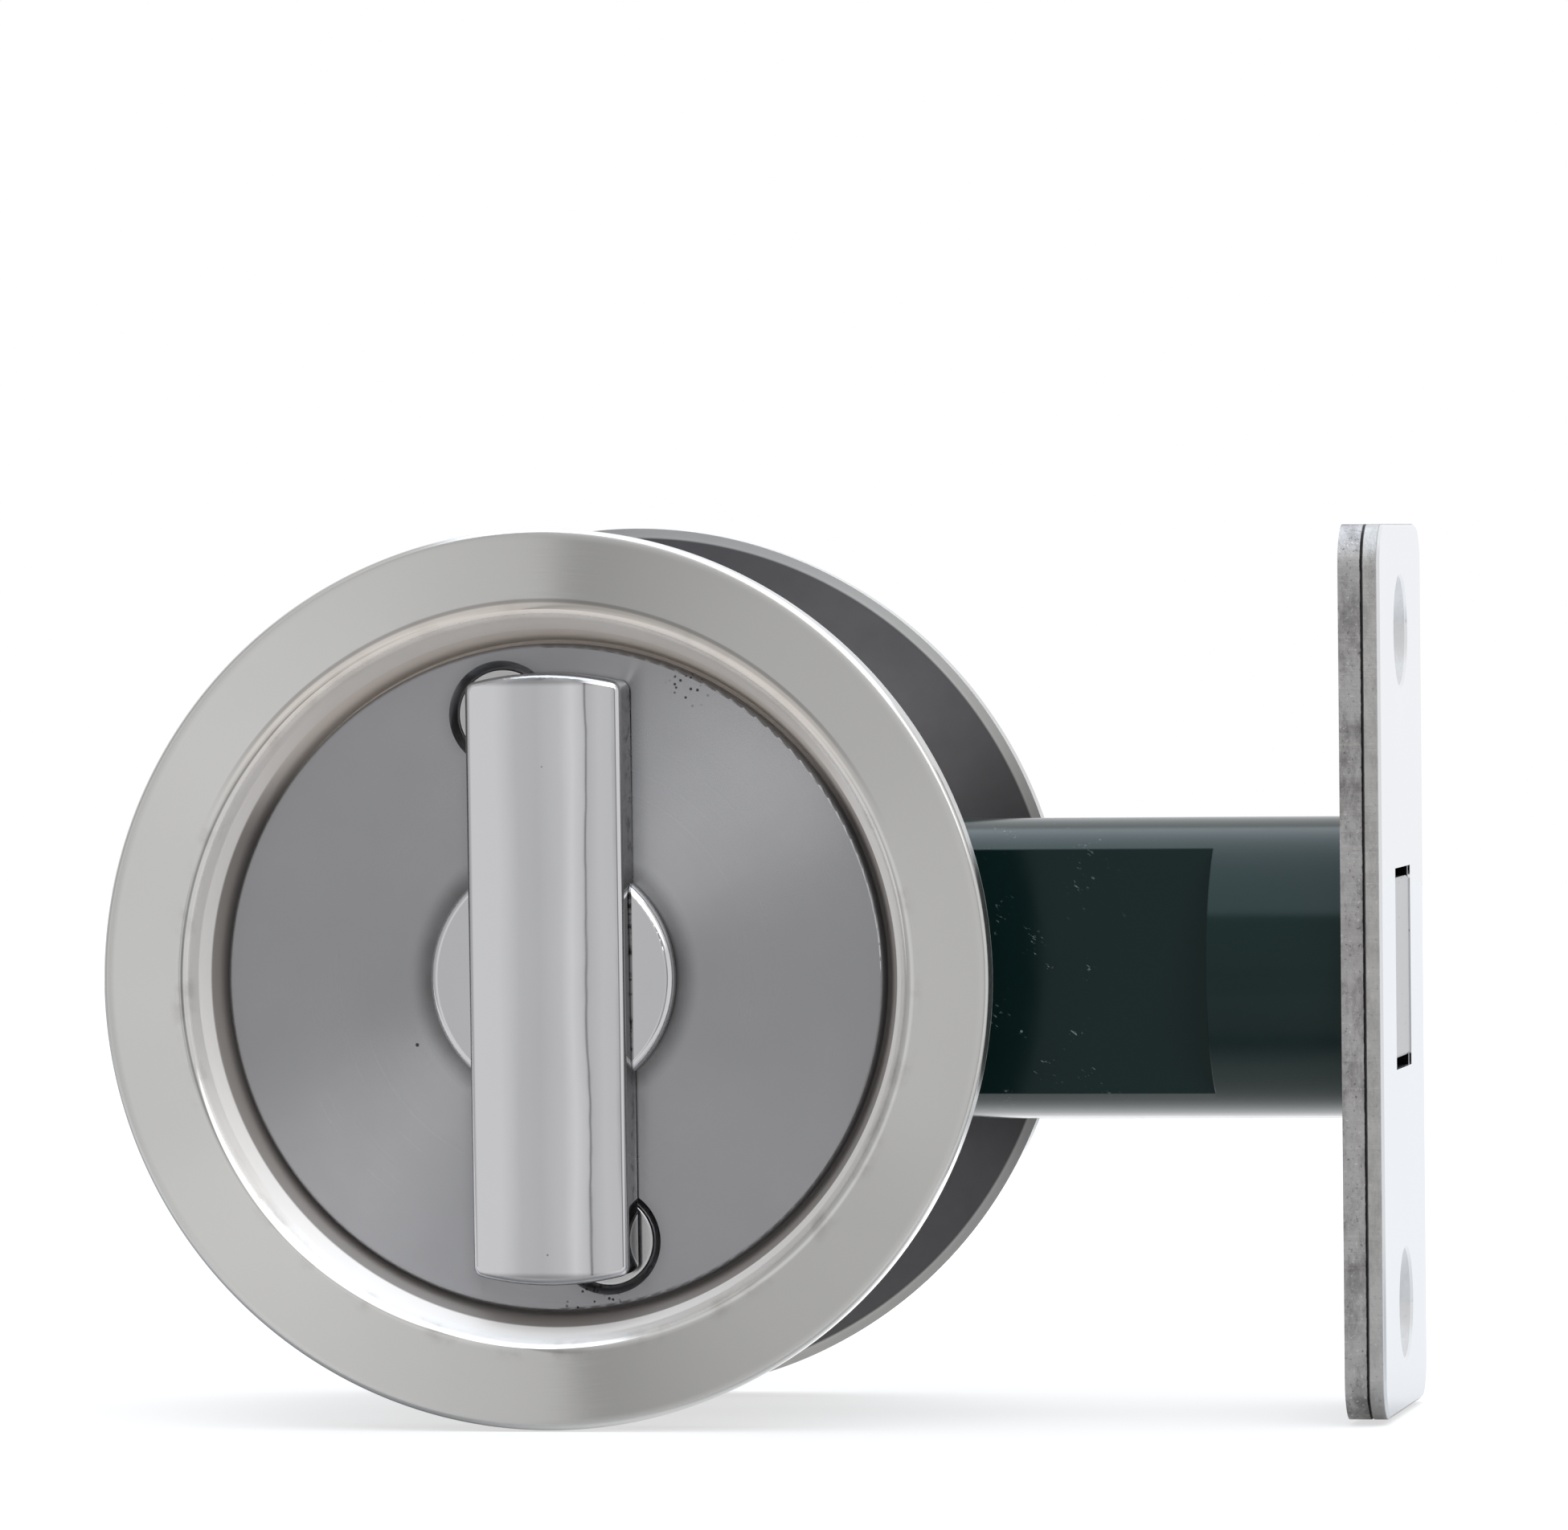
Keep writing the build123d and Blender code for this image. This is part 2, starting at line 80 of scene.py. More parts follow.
SCREW_TURN = 37.0
CROSS_ARM, CROSS_W, CROSS_DEEP = 3.6, 0.9, 1.2
SECOND_ARM = 0.97
EDGE_FACE, PLATE_JOINT = 60.0, 58.7
EDGE_HOLE_Z, EDGE_HOLE_R = 24.5, 4.2
SLOT_HALF_H, SLOT_HALF_W = 7.3, 4.45


# Short calls that make and wire nodes

def tone(red, green=None, blue=None):
    """A colour for a socket; one number alone gives a grey."""
    if green is None:
        return (red, red, red, 1.0)
    return (red, green, blue, 1.0)


def node(tree, kind, settings=(), inputs=()):
    """Add a node; an input takes a constant or the socket that feeds it."""
    made = tree.nodes.new(kind)
    for name, value in dict(settings).items():
        setattr(made, name, value)
    for key, value in dict(inputs).items():
        if isinstance(value, bpy.types.NodeSocket):
            tree.links.new(value, made.inputs[key])
        else:
            made.inputs[key].default_value = value
    return made


class Tree:
    """A node tree under construction."""

    def __init__(self, tree):
        self.tree = tree
        tree.nodes.clear()

    def math(self, operation, first, second=0.0):
        made = node(self.tree, "ShaderNodeMath", {"operation": operation}, {0: first, 1: second})
        return made.outputs[0]

    def total(self, *values):
        result = values[0]
        for value in values[1:]:
            result = self.math("ADD", result, value)
        return result

    def product(self, *values):
        result = values[0]
        for value in values[1:]:
            result = self.math("MULTIPLY", result, value)
        return result

    def rest(self, share):
        """What a share leaves of 1."""
        return self.math("SUBTRACT", 1.0, share)

    def off(self, value, middle):
        """How far a value lies from a middle, either way."""
        return self.math("ABSOLUTE", self.math("SUBTRACT", value, middle))

    def vector(self, operation, first, second=(0.0, 0.0, 0.0)):
        made = node(self.tree, "ShaderNodeVectorMath", {"operation": operation}, {0: first, 1: second})
        return made.outputs["Value" if operation in ("LENGTH", "DISTANCE") else "Vector"]

    def axes(self, vector):
        return node(self.tree, "ShaderNodeSeparateXYZ", (), {0: vector}).outputs

    def step(self, value, low, high):
        """Change smoothly from 0 at low to 1 at high, which may be the smaller."""
        made = node(self.tree, "ShaderNodeMapRange", {"interpolation_type": "SMOOTHSTEP"},
                    {"Value": value, "From Min": low, "From Max": high})
        return made.outputs["Result"]

    def spread(self, value, low, high):
        """Carry a value from 0..1 to low..high."""
        made = node(self.tree, "ShaderNodeMapRange", (), {"Value": value, "To Min": low, "To Max": high})
        return made.outputs["Result"]

    def ramp(self, value, stops):
        """Grey levels at places along a value, with straight lines between them."""
        low, high = stops[0][0], stops[-1][0]
        share = node(self.tree, "ShaderNodeMapRange", (), {"Value": value, "From Min": low, "From Max": high})
        made = node(self.tree, "ShaderNodeValToRGB", (), {"Fac": share.outputs["Result"]})
        places = made.color_ramp.elements
        for count, (place, level) in enumerate(stops):
            at = (place - low) / (high - low)
            stop = places[count] if count < 2 else places.new(at)
            stop.position = at
            stop.color = tone(level)
        return made.outputs["Color"]

    def mix(self, share, first, second):
        made = node(self.tree, "ShaderNodeMix", {"data_type": "RGBA"}, {"Factor": share, 6: first, 7: second})
        return made.outputs[2]

    def noise(self, vector, scale, detail=3.0, rough=0.5):
        made = node(self.tree, "ShaderNodeTexNoise", (),
                    {"Vector": vector, "Scale": scale, "Detail": detail, "Roughness": rough})
        return made.outputs["Fac"]

    def lines(self, place, scale, detail=4.0):
        """Noise that runs along one number, for turned and rolled lines."""
        made = node(self.tree, "ShaderNodeTexNoise", {"noise_dimensions": "1D"},
                    {"W": place, "Scale": scale, "Detail": detail, "Roughness": 0.7})
        return made.outputs["Fac"]

    def specks(self, vector, scale, size, share):
        """Round specks: 1 inside, 0 outside, in a share of the cells."""
        cells = node(self.tree, "ShaderNodeTexVoronoi", (),
                     {"Vector": vector, "Scale": scale, "Randomness": 1.0})
        chosen = self.math("GREATER_THAN", self.axes(cells.outputs["Color"])[0], 1.0 - share)
        near = self.step(cells.outputs["Distance"], size, 0.6 * size)
        return self.product(chosen, near)


class Finish(Tree):
    """A surface finish on Object coordinates; x, y, z, depth and radius are in millimetres."""

    def __init__(self, name):
        self.material = bpy.data.materials.new(name)
        self.material.use_nodes = True
        super().__init__(self.material.node_tree)
        self.place = node(self.tree, "ShaderNodeTexCoord").outputs["Object"]
        measured = self.vector("DIVIDE", self.place, (MM, MM, MM))
        self.x, self.y, self.z = self.axes(measured)
        self.depth = self.math("ABSOLUTE", self.y)
        self.flat = self.vector("MULTIPLY", measured, (1.0, 0.0, 1.0))
        self.radius = self.vector("LENGTH", self.flat)

    def near(self, x, z, reach):
        """1 close to a point of the rose's face and 0 past its reach."""
        away = self.vector("DISTANCE", self.flat, (x, 0.0, z))
        return self.step(away, reach, 0.5 * reach)

    def front(self):
        """1 on the snib's side of the door."""
        return self.step(self.y, 0.0, -1.0)

    def scaled(self, x, y, z):
        return self.vector("MULTIPLY", self.place, (x, y, z))

    def turned(self, lean, stretch):
        """Object coordinates leaned about Y and stretched, for marks that run one way."""
        made = node(self.tree, "ShaderNodeMapping", {"vector_type": "TEXTURE"},
                    {"Vector": self.place, "Rotation": (0.0, math.radians(lean), 0.0), "Scale": stretch})
        return made.outputs["Vector"]

    def bump(self, height, strength, depth, normal=None):
        inputs = {"Height": height, "Strength": strength, "Distance": depth * MM}
        if normal is not None:
            inputs["Normal"] = normal
        return node(self.tree, "ShaderNodeBump", (), inputs).outputs["Normal"]

    def close(self, **inputs):
        """Feed the surface and end the tree."""
        shader = node(self.tree, "ShaderNodeBsdfPrincipled", (),
                      {name.replace("_", " "): value for name, value in inputs.items()})
        node(self.tree, "ShaderNodeOutputMaterial", (), {"Surface": shader.outputs[0]})
        return self.material

    def close_turned(self, **inputs):
        """End the tree of a piece with turning marks round the turn axis."""
        marks = node(self.tree, "ShaderNodeTangent", {"direction_type": "RADIAL", "axis": "Y"})
        return self.close(Anisotropic=1.0, Anisotropic_Rotation=0.25, Tangent=marks.outputs["Tangent"],
                          **inputs)


# Camera at the photograph's place, in millimetres and degrees

FOCAL_PX = 13638.0
IMAGE_PX = 1951.0
SENSOR_W = 36.0
NEAREST = 10.0
CAMERA_AT = (155.2, -793.1, 31.3)
YAW, PITCH, ROLL = 10.07, 1.16, -0.58


def photo_camera():
    """Look at the snib's side from the right and a little above."""
    yaw, pitch, roll = (math.radians(angle) for angle in (YAW, PITCH, ROLL))
    ahead = Vector((-math.sin(yaw) * math.cos(pitch), math.cos(yaw) * math.cos(pitch), -math.sin(pitch)))
    level = Vector((math.cos(yaw), math.sin(yaw), 0.0))
    upright = level.cross(ahead)
    right = math.cos(roll) * level + math.sin(roll) * upright
    up = math.cos(roll) * upright - math.sin(roll) * level
    lens = bpy.data.cameras.new("photo_camera")
    lens.sensor_width = SENSOR_W
    lens.lens = FOCAL_PX * SENSOR_W / IMAGE_PX
    lens.clip_start = NEAREST * MM
    camera = bpy.data.objects.new("photo_camera", lens)
    turn = Matrix((right, up, -ahead)).transposed().to_4x4()
    camera.matrix_world = Matrix.Translation(Vector(CAMERA_AT) * MM) @ turn
    scene.collection.objects.link(camera)
    scene.camera = camera


photo_camera()


# Studio: a light tent with grey panels in front, a lamp at the upper right, a bright roof and a white back

# Direction in radians, to the right of straight ahead, and level of the front panels there
FRONT_PANELS = [
    (-1.30, 0.46), (-0.85, 0.56), (-0.60, 0.80), (-0.42, 0.78), (-0.36, 0.64), (-0.31, 0.57), (-0.27, 0.555),
    (-0.235, 0.46), (-0.2085, 0.38), (-0.2065, 0.60), (-0.19, 0.63), (-0.16, 0.69), (-0.12, 0.76),
    (-0.08, 0.82), (-0.022, 0.74), (0.02, 0.66), (0.12, 0.62), (0.18, 0.38), (0.40, 0.38), (0.50, 0.80),
]
# The same about level with the lock, with the narrow dark gap that the snib mirrors as a line
LEVEL_PANELS = [
    (-1.30, 0.46), (-0.85, 0.56), (-0.60, 0.78), (-0.41, 0.77), (-0.36, 0.70), (-0.31, 0.61), (-0.22, 0.58),
    (-0.12, 0.66), (-0.07, 0.80), (-0.022, 0.68), (-0.0125, 0.62), (-0.0105, 0.15), (-0.0035, 0.15),
    (-0.0015, 0.58), (0.02, 0.62), (0.06, 0.68), (0.12, 0.66), (0.17, 0.30), (0.40, 0.30), (0.50, 0.80),
]
LEVEL_RISE, LEVEL_FADE = -0.04, (0.065, 0.040)
BACK_FADE, BACK_TONE = (1.5, 1.9), tone(0.93, 0.94, 0.96)
LAMP_LEFT, LAMP_RIGHT, LAMP_FOOT, LAMP_TONE = (0.0, 0.10), (1.0, 0.8), (0.16, 0.26), tone(2.1)
ROOF_FOOT, ROOF_TONE = (0.70, 0.78), tone(2.15, 2.3, 2.5)
ROOF_LEFT, ROOF_LEFT_TONE = (-0.28, -0.45), tone(0.70)
WHITE = tone(1.0)


def studio():
    """Light the lock from the tent; the camera itself sees white."""
    world = bpy.data.worlds.new("tent")
    scene.world = world
    world.use_nodes = True
    tent = Tree(world.node_tree)
    toward = node(tent.tree, "ShaderNodeTexCoord").outputs["Generated"]
    x, y, z = tent.axes(toward)
    side = tent.math("ARCTAN2", x, tent.product(y, -1.0))
    rise = tent.math("ARCSINE", z)
    level = tent.step(tent.off(rise, LEVEL_RISE), *LEVEL_FADE)
    walls = tent.mix(level, tent.ramp(side, FRONT_PANELS), tent.ramp(side, LEVEL_PANELS))
    walls = tent.mix(tent.step(tent.math("ABSOLUTE", side), *BACK_FADE), walls, BACK_TONE)
    lamp = tent.product(tent.step(side, *LAMP_LEFT), tent.step(side, *LAMP_RIGHT),
                        tent.step(rise, *LAMP_FOOT))
    walls = tent.mix(lamp, walls, LAMP_TONE)
    roof = tent.mix(tent.step(x, *ROOF_LEFT), ROOF_TONE, ROOF_LEFT_TONE)
    sky = tent.mix(tent.step(rise, *ROOF_FOOT), walls, roof)
    light = node(tent.tree, "ShaderNodeBackground", (), {"Color": sky})
    white = node(tent.tree, "ShaderNodeBackground", (), {"Color": WHITE})
    seen = node(tent.tree, "ShaderNodeLightPath").outputs["Is Camera Ray"]
    both = node(tent.tree, "ShaderNodeMixShader", (), {0: seen, 1: light.outputs[0], 2: white.outputs[0]})
    node(tent.tree, "ShaderNodeOutputWorld", (), {"Surface": both.outputs[0]})


FLOOR_LEFT, FLOOR_RIGHT = -600.0, 800.0
FLOOR_FRONT, FLOOR_BACK = -100.0, 1200.0
FLOOR_DROP = 0.1
FLOOR_TONE, FLOOR_CREAM = tone(0.36), tone(1.0, 0.90, 0.81)
SEEN_GLOW, TUBE_GLOW, PLATE_GLOW, AHEAD_GLOW = 0.62, 1.6, 0.4, 0.30
TUBE_START, TUBE_END, TUBE_REACH = (-10.0, 10.0), (60.0, 52.0), (130.0, 80.0)
PLATE_START, AHEAD_START = (52.0, 60.0), (-24.0, -40.0)
FRONT_START, FRONT_SHARE = (-30.0, -10.0), 0.6
REAR_START, REAR_SHARE = (0.0, 20.0), 0.4


def floor():
    """A pale floor; the glow that shiny pieces mirror changes with its place and is cream ahead."""
    f = Finish("pale_floor")
    diffuse = node(f.tree, "ShaderNodeBsdfDiffuse", (), {"Color": FLOOR_TONE})
    path = node(f.tree, "ShaderNodeLightPath").outputs
    seen = f.total(path["Is Camera Ray"], path["Is Transmission Ray"])
    glossy = path["Is Glossy Ray"]
    tube = f.product(f.step(f.x, *TUBE_END), f.step(f.x, *TUBE_START), f.step(f.y, *TUBE_REACH))
    bright = f.total(f.product(tube, TUBE_GLOW), f.product(f.step(f.x, *PLATE_START), PLATE_GLOW))
    reach = f.total(f.product(f.step(f.y, *FRONT_START), FRONT_SHARE),
                    f.product(f.step(f.y, *REAR_START), REAR_SHARE))
    ahead = f.step(f.y, *AHEAD_START)
    mirrored = f.total(f.product(reach, bright), f.product(ahead, AHEAD_GLOW))
    strength = f.total(f.product(seen, SEEN_GLOW), f.product(glossy, mirrored))
    tint = f.mix(f.product(ahead, glossy), WHITE, FLOOR_CREAM)
    glow = node(f.tree, "ShaderNodeEmission", (), {"Color": tint, "Strength": strength})
    both = node(f.tree, "ShaderNodeAddShader", (), {0: diffuse.outputs[0], 1: glow.outputs[0]})
    node(f.tree, "ShaderNodeOutputMaterial", (), {"Surface": both.outputs[0]})
    drop = cad_box[0].z - FLOOR_DROP * MM
    outline = [(FLOOR_LEFT, FLOOR_FRONT), (FLOOR_RIGHT, FLOOR_FRONT),
               (FLOOR_RIGHT, FLOOR_BACK), (FLOOR_LEFT, FLOOR_BACK)]
    mesh = bpy.data.meshes.new("floor")
    mesh.from_pydata([(x * MM, y * MM, drop) for x, y in outline], [], [(0, 1, 2, 3)])
    mesh.materials.append(f.material)
    piece = bpy.data.objects.new("floor", mesh)
    scene.collection.objects.link(piece)


studio()
floor()


# Finishes

def satin_rose():
    """Ring of the rose: circular satin on the flange, pale lip, painted shade in the well, a painted cream
    reflection on the upper lip and well, and an unpolished back painted darker as shade.
    """
    f = Finish("satin_rose")
    pale_wall, brown_stain = tone(0.93, 0.91, 0.89), tone(0.36, 0.34, 0.31)
    # Tones of the painted shade in the well, and of the painted cream reflection with its dark line on the
    # upper lip and well.
    well_painted_shade, well_painted_reflection = tone(0.34, 0.315, 0.30), tone(0.84, 0.76, 0.69)
    lip_painted_reflection, lip_painted_reflection_line = tone(0.86, 0.785, 0.715), tone(0.22, 0.21, 0.20)
    wall = f.product(f.step(f.radius, LIP_R + 0.25, LIP_R - 0.1),
                     f.step(f.depth, LIP_FOOT - 0.3, LIP_FOOT + 0.1))
    well = f.product(f.step(f.radius, LIP_R - 0.1, LIP_R - 0.5),
                     f.step(f.depth, LIP_FOOT + 0.2, LIP_FOOT - 0.1))
    upper = f.step(f.z, 10.0, 21.0)
    colour = f.mix(f.noise(f.place, 120.0, 4.0), tone(0.675, 0.67, 0.655), tone(0.715, 0.71, 0.70))
    colour = f.mix(wall, colour, pale_wall)
    at_lip = f.product(f.step(f.radius, LIP_R + 1.6, LIP_R + 0.5), f.step(f.radius, LIP_R - 0.5, LIP_R + 0.1))
    stain = f.product(f.step(f.noise(f.place, 260.0, 4.0, 0.55), 0.48, 0.70), at_lip)
    colour = f.mix(f.product(stain, 0.40), colour, brown_stain)
    # Painted shade in the well below the lip, except at the top, where the well gets a painted cream
    # reflection instead.
    colour = f.mix(f.product(well, 0.9, f.rest(upper)), colour, well_painted_shade)
    colour = f.mix(f.product(well, upper), colour, well_painted_reflection)
    # Painted cream reflection on the upper lip band, and a painted dark reflection line along the lip's outer
    # edge there.
    band = f.product(f.step(f.radius, LIP_R + 1.2, LIP_R + 0.8),
                     f.step(f.radius, LIP_FOOT_R - 0.25, LIP_FOOT_R + 0.15), upper)
    patchy = f.spread(f.noise(f.place, 180.0, 3.0), 0.25, 0.85)
    colour = f.mix(f.product(band, patchy), colour, lip_painted_reflection)
    outline = f.step(f.off(f.radius, LIP_R + LIP_ROUND + 0.05), 0.22, 0.06)
    colour = f.mix(f.product(outline, upper, 0.55), colour, lip_painted_reflection_line)
    # The back face, which lies on the door, is unpolished steel painted darker as painted shade between the
    # two roses.
    rear = f.step(f.depth, DOOR_FACE + 0.1, DOOR_FACE + 0.02)
    back = f.product(rear, f.step(f.radius, ROSE_R - 0.6, ROSE_R - 0.8),
                     f.step(f.radius, WELL_OUT_R - 0.11, WELL_OUT_R + 0.19))
    unpolished_shaded_back = f.mix(f.noise(f.place, 260.0, 5.0, 0.6), tone(0.115, 0.112, 0.117), tone(0.165, 0.16, 0.167))
    colour = f.mix(back, colour, unpolished_shaded_back)
    grain = f.lines(f.radius, 9.0)
    rim = f.step(f.radius, ROSE_R - 0.9, ROSE_R - 0.3)
    rough = f.total(f.spread(grain, 0.045, 0.06), f.product(rear, 0.40), f.product(rim, 0.13),
                    f.total(f.product(wall, 0.44), f.product(well, 0.48)))
    # The upper lip wall and well are made less metallic, to carry the painted cream reflection.
    metal = f.rest(f.product(f.math("MAXIMUM", wall, well), upper, 0.75))
    normal = f.bump(f.product(grain, f.rest(rear)), 0.02, 0.02)
    return f.close_turned(Base_Color=colour, Metallic=metal, Roughness=rough, Normal=normal)


# Pitted spots of the disc, as X, Z and reach, and the reach of the painted shade round its screws
PITTED_SPOTS = [(10.2, 21.2, 2.0), (2.6, -23.2, 3.0)]
SCREW_SHADE_R = 4.9


def spun_plate():
    """Disc of the rose: spun grey steel with a few pits, and painted shade round what sits on it."""
    f = Finish("spun_plate")
    grain = f.lines(f.radius, 5.0)
    cloud = f.noise(f.place, 160.0, 4.0)
    colour = f.mix(cloud, tone(0.365, 0.366, 0.378), tone(0.41, 0.411, 0.425))
    pitted = f.total(*[f.near(*spot) for spot in PITTED_SPOTS])
    pits = f.product(f.specks(f.place, 2600.0, 0.35, 0.5), pitted)
    pits = f.math("MAXIMUM", pits, f.specks(f.place, 300.0, 0.05, 0.10))
    colour = f.mix(pits, colour, tone(0.06))
    # Painted shade on the disc: a ring round the boss, bands beside the snib's bar and rings round the screw
    # heads.
    boss = f.step(f.radius, BOSS_R + 1.8, BOSS_R + 0.1)
    across, along = f.math("ABSOLUTE", f.x), f.math("ABSOLUTE", f.z)
    bar = f.product(f.step(across, SNIB_HALF_W + 1.5, SNIB_HALF_W + 0.1),
                    f.step(across, SNIB_HALF_W - 1.1, SNIB_HALF_W - 0.1),
                    f.step(along, SNIB_R + 1.1, SNIB_R - 0.9), 0.25)
    heads = f.total(f.near(SCREW_X, SCREW_Z, SCREW_SHADE_R), f.near(-SCREW_X, -SCREW_Z, SCREW_SHADE_R))
    painted_shade_beside = f.product(f.front(), f.math("MAXIMUM", bar, f.product(heads, 0.7)))
    patchy = f.spread(f.noise(f.place, 350.0, 4.0), 0.45, 0.95)
    colour = f.mix(f.product(f.math("MAXIMUM", boss, painted_shade_beside), patchy), colour, tone(0.10, 0.10, 0.102))
    rough = f.total(f.spread(grain, 0.20, 0.27), f.product(cloud, 0.04))
    return f.close_turned(Base_Color=colour, Metallic=1.0, Roughness=rough, Normal=f.bump(grain, 0.06, 0.02))


def polished_metal():
    """Cast and polished snib and coin turn, with painted shade on the sides of the snib's bar and at their
    foot.
    """
    f = Finish("polished_metal")
    across, along = f.math("ABSOLUTE", f.x), f.math("ABSOLUTE", f.z)
    colour = f.mix(f.noise(f.place, 90.0, 3.0), tone(0.695, 0.695, 0.715), tone(0.735, 0.735, 0.755))
    colour = f.mix(f.specks(f.place, 300.0, 0.05, 0.08), colour, tone(0.15))
    # Painted shade on the side walls of the snib's bar, and patchy painted shade at their foot.
    side = f.product(f.step(across, SNIB_HALF_W - 0.15, SNIB_HALF_W - 0.05),
                     f.step(f.radius, SNIB_R + 0.3, SNIB_R + 0.1),
                     f.step(across, SNIB_HALF_W + 0.3, SNIB_HALF_W + 0.2), f.front())
    colour = f.mix(f.product(side, 0.85), colour, tone(0.20, 0.20, 0.205))
    foot_painted_shade = f.product(f.step(f.noise(f.place, 1200.0, 5.0, 0.65), 0.50, 0.62),
                      f.step(f.depth, SNIB_EDGE - 0.15, SNIB_EDGE - 1.95))
    colour = f.mix(f.product(side, foot_painted_shade), colour, tone(0.05, 0.045, 0.045))
    end = f.product(f.step(along, SNIB_R - 1.0, SNIB_R - 0.6),
                    f.step(f.depth, SNIB_EDGE - 0.95, SNIB_EDGE - 0.55))
    colour = f.mix(f.product(end, 0.8), colour, tone(0.36, 0.36, 0.37))
    rough = f.spread(f.noise(f.place, 300.0, 5.0), 0.025, 0.05)
    waves = f.bump(f.noise(f.scaled(1.0, 0.0, 0.5), 90.0, 1.0), 1.0, 0.10)
    ripples = f.bump(f.noise(f.scaled(1.0, 0.0, 0.6), 330.0, 2.0), 0.5, 0.012, waves)
    return f.close(Base_Color=colour, Metallic=1.0, Roughness=rough, Normal=ripples)


def case_paint():
    """Dark green baked paint of the latch tube, scuffed near the rose."""
    f = Finish("case_paint")
    colour = f.mix(f.noise(f.place, 200.0, 4.0), tone(0.003, 0.012, 0.0115), tone(0.005, 0.016, 0.015))
    strokes = f.step(f.noise(f.turned(35.0, (3.0, 1.0, 1.0)), 5200.0, 3.0, 0.5), 0.62, 0.70)
    patch = f.step(f.noise(f.place, 420.0, 3.0), 0.54, 0.64)
    scuff = f.product(strokes, patch, f.step(f.x, ROSE_R + 9.5, ROSE_R + 3.5))
    scuff = f.math("MAXIMUM", scuff, f.specks(f.place, 700.0, 0.08, 0.10))
    colour = f.mix(f.product(scuff, 0.6), colour, tone(0.30, 0.36, 0.36))
    rough = f.spread(f.noise(f.place, 500.0, 4.0), 0.12, 0.20)
    soft = node(f.tree, "ShaderNodeBevel", {"samples": 4}, {"Radius": 0.15 * MM}).outputs[0]
    normal = f.bump(f.noise(f.place, 900.0, 3.0), 0.06, 0.03, soft)
    return f.close(Base_Color=colour, Roughness=rough, Specular_IOR_Level=0.235,
                   Specular_Tint=tone(0.84, 1.0, 1.0), Normal=normal)


def cut_edge(f):
    """Colour, roughness and height of a sheared plate's edge, with the dark joint of the two plates."""
    mottle = f.step(f.noise(f.scaled(1.0, 1.0, 0.45), 480.0, 6.0, 0.7), 0.42, 0.66)
    fine = f.noise(f.place, 3200.0, 4.0, 0.6)
    shear = f.lines(f.z, 1.5, 3.0)
    stain = f.step(f.lines(f.z, 0.11, 3.0), 0.52, 0.66)
    colour = f.mix(mottle, tone(0.43, 0.42, 0.415), tone(0.24, 0.232, 0.23))
    colour = f.mix(f.product(stain, f.spread(mottle, 0.25, 0.75)), colour, tone(0.15, 0.138, 0.138))
    colour = f.mix(f.product(f.step(fine, 0.58, 0.70), 0.6), colour, tone(0.64, 0.63, 0.61))
    colour = f.mix(f.product(f.step(fine, 0.42, 0.30), 0.7), colour, tone(0.08, 0.078, 0.076))
    colour = f.mix(f.product(f.step(shear, 0.60, 0.72), 0.12), colour, tone(0.60, 0.59, 0.57))
    wander = f.spread(f.noise(f.scaled(0.0, 0.0, 1.0), 900.0, 4.0, 0.7), -0.10, 0.10)
    joint = f.step(f.off(f.total(f.x, wander), PLATE_JOINT), 0.13, 0.07)
    colour = f.mix(f.product(joint, 0.95), colour, tone(0.012, 0.011, 0.011))
    height = f.total(fine, shear, f.product(mottle, 0.8))
    return colour, f.spread(fine, 0.40, 0.62), height


def plain_steel():
    """Cut steel: forend and most of the pieces inside."""
    f = Finish("plain_steel")
    colour, rough, height = cut_edge(f)
    return f.close(Base_Color=colour, Metallic=1.0, Roughness=rough, Normal=f.bump(height, 0.4, 0.05))


def bolt_steel():
    """Bolt: drawn steel, bright on its end and darker along its sides."""
    f = Finish("bolt_steel")
    drawn = f.noise(f.scaled(1.0, 6.0, 0.6), 700.0, 4.0)
    bright = f.mix(drawn, tone(0.50, 0.50, 0.495), tone(0.56, 0.56, 0.555))
    sides = f.mix(drawn, tone(0.12, 0.118, 0.115), tone(0.20, 0.196, 0.19))
    colour = f.mix(f.step(f.x, EDGE_FACE - 0.5, EDGE_FACE - 0.3), sides, bright)
    marks = f.specks(f.place, 1500.0, 0.16, 0.12)
    colour = f.mix(f.product(marks, 0.8), colour, tone(0.05))
    return f.close(Base_Color=colour, Metallic=1.0, Roughness=f.spread(drawn, 0.30, 0.42),
                   Normal=f.bump(drawn, 0.1, 0.03))


